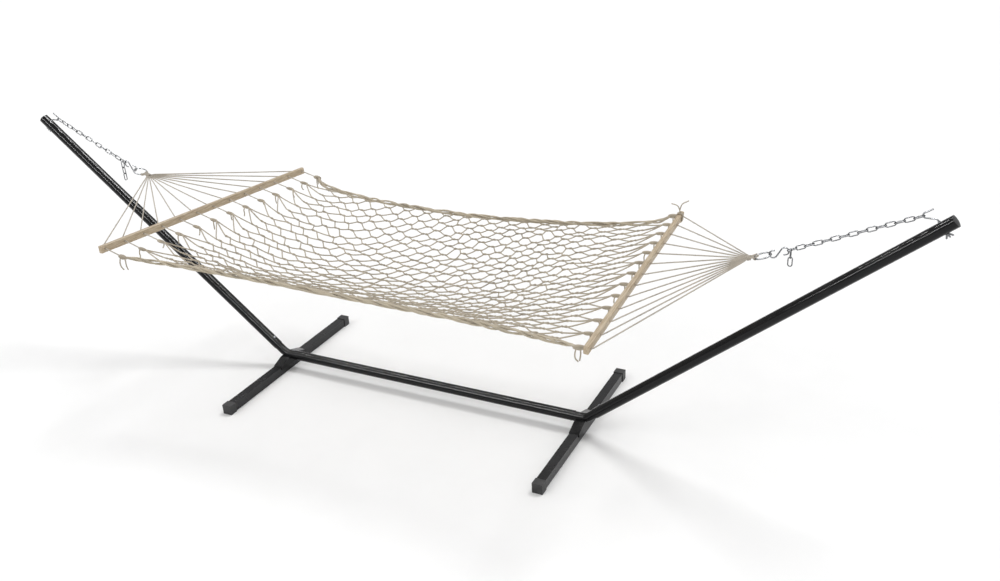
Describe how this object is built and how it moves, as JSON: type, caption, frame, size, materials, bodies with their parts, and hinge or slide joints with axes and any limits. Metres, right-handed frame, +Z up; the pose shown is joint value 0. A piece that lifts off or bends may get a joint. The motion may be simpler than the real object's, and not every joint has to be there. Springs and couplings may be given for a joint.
{
  "type": "hammock on stand",
  "caption": "Rope net hammock with wooden spreader bars, hung by chains between the raised arms of a black tubular steel stand.",
  "frame": {"origin": "on the floor under the middle of the stand, midway between the two feet", "axes": "+X along the stand to its right end, +Y across it to the far side, +Z up"},
  "size_m": [4.6526, 1.4, 1.2954],
  "materials": {
    "black_powder_coat": "semi-gloss black powder coat over steel",
    "black_plastic": "satin moulded plastic",
    "zinc_steel": "zinc plated wire",
    "pine": "clear varnished pine with fine grain",
    "cotton_rope": "undyed three-strand cotton rope"
  },
  "bodies": {
    "stand": {"centre_beam": "black_powder_coat", "elbow_left": "black_powder_coat", "elbow_right": "black_powder_coat", "arm_left": "black_powder_coat", "arm_right": "black_powder_coat", "arm_cap_left": "black_plastic", "arm_cap_right": "black_plastic", "foot_left": "black_powder_coat", "foot_right": "black_powder_coat", "foot_cap_left_near": "black_plastic", "foot_cap_left_far": "black_plastic", "foot_cap_right_near": "black_plastic", "foot_cap_right_far": "black_plastic", "saddle_left": "black_powder_coat", "saddle_right": "black_powder_coat", "saddle_bolt_left": "zinc_steel", "saddle_bolt_right": "zinc_steel", "saddle_nut_left": "zinc_steel", "saddle_nut_right": "zinc_steel", "tube_screws_left": "zinc_steel", "tube_screws_right": "zinc_steel", "tube_nuts_left": "zinc_steel", "tube_nuts_right": "zinc_steel", "hook_left": "zinc_steel", "hook_right": "zinc_steel", "hook_nut_left": "zinc_steel", "hook_nut_right": "zinc_steel", "hook_washer_left": "zinc_steel", "hook_washer_right": "zinc_steel", "wing_nut_left": "zinc_steel", "wing_nut_right": "zinc_steel"},
    "hanger_left": {"chain_left": "zinc_steel", "s_hook_left": "zinc_steel"},
    "hanger_right": {"chain_right": "zinc_steel", "s_hook_right": "zinc_steel"},
    "spare_left": {"spare_chain_left": "zinc_steel"},
    "spare_right": {"spare_chain_right": "zinc_steel"},
    "bed": {"ring_left": "zinc_steel", "ring_right": "zinc_steel", "clew_wrap_left": "cotton_rope", "clew_wrap_right": "cotton_rope", "clew_knot_left": "cotton_rope", "clew_knot_right": "cotton_rope", "clew_cords_left": "cotton_rope", "clew_cords_right": "cotton_rope", "spreader_bar_left": "pine", "spreader_bar_right": "pine", "tie_knots_left": "cotton_rope", "tie_knots_right": "cotton_rope", "net_near_1": "cotton_rope", "net_near_2": "cotton_rope", "net_near_3": "cotton_rope", "net_near_4": "cotton_rope", "net_far_1": "cotton_rope", "net_far_2": "cotton_rope", "net_far_3": "cotton_rope", "net_far_4": "cotton_rope", "edge_rope_near": "cotton_rope", "edge_rope_far": "cotton_rope"}
  },
  "joints": [
    {"name": "left_swing", "type": "hinge", "parent": "stand", "child": "hanger_left", "pos_m": [-2.19752, 0, 1.26176], "axis": [1, 0, 0], "range_deg": [-20, 20]},
    {"name": "right_swing", "type": "hinge", "parent": "stand", "child": "hanger_right", "pos_m": [2.19752, 0, 1.26176], "axis": [1, 0, 0], "range_deg": [-20, 20]},
    {"name": "bed_roll", "type": "hinge", "parent": "hanger_left", "child": "bed", "pos_m": [-1.7018, 0, 1.02876], "axis": [1, 0, 0], "range_deg": [-20, 20]},
    {"name": "left_spare_swing", "type": "hinge", "parent": "hanger_left", "child": "spare_left", "pos_m": [-1.77931, -0.00825, 1.06519], "axis": [0.905, 0, -0.4254], "range_deg": [-30, 30]},
    {"name": "right_spare_swing", "type": "hinge", "parent": "hanger_right", "child": "spare_right", "pos_m": [1.74252, -0.00825, 1.06304], "axis": [-0.9164, 0, -0.4002], "range_deg": [-30, 30]}
  ],
  "couplings": [
    {"joint": "right_swing", "follows": "left_swing", "ratio": 1}
  ]
}
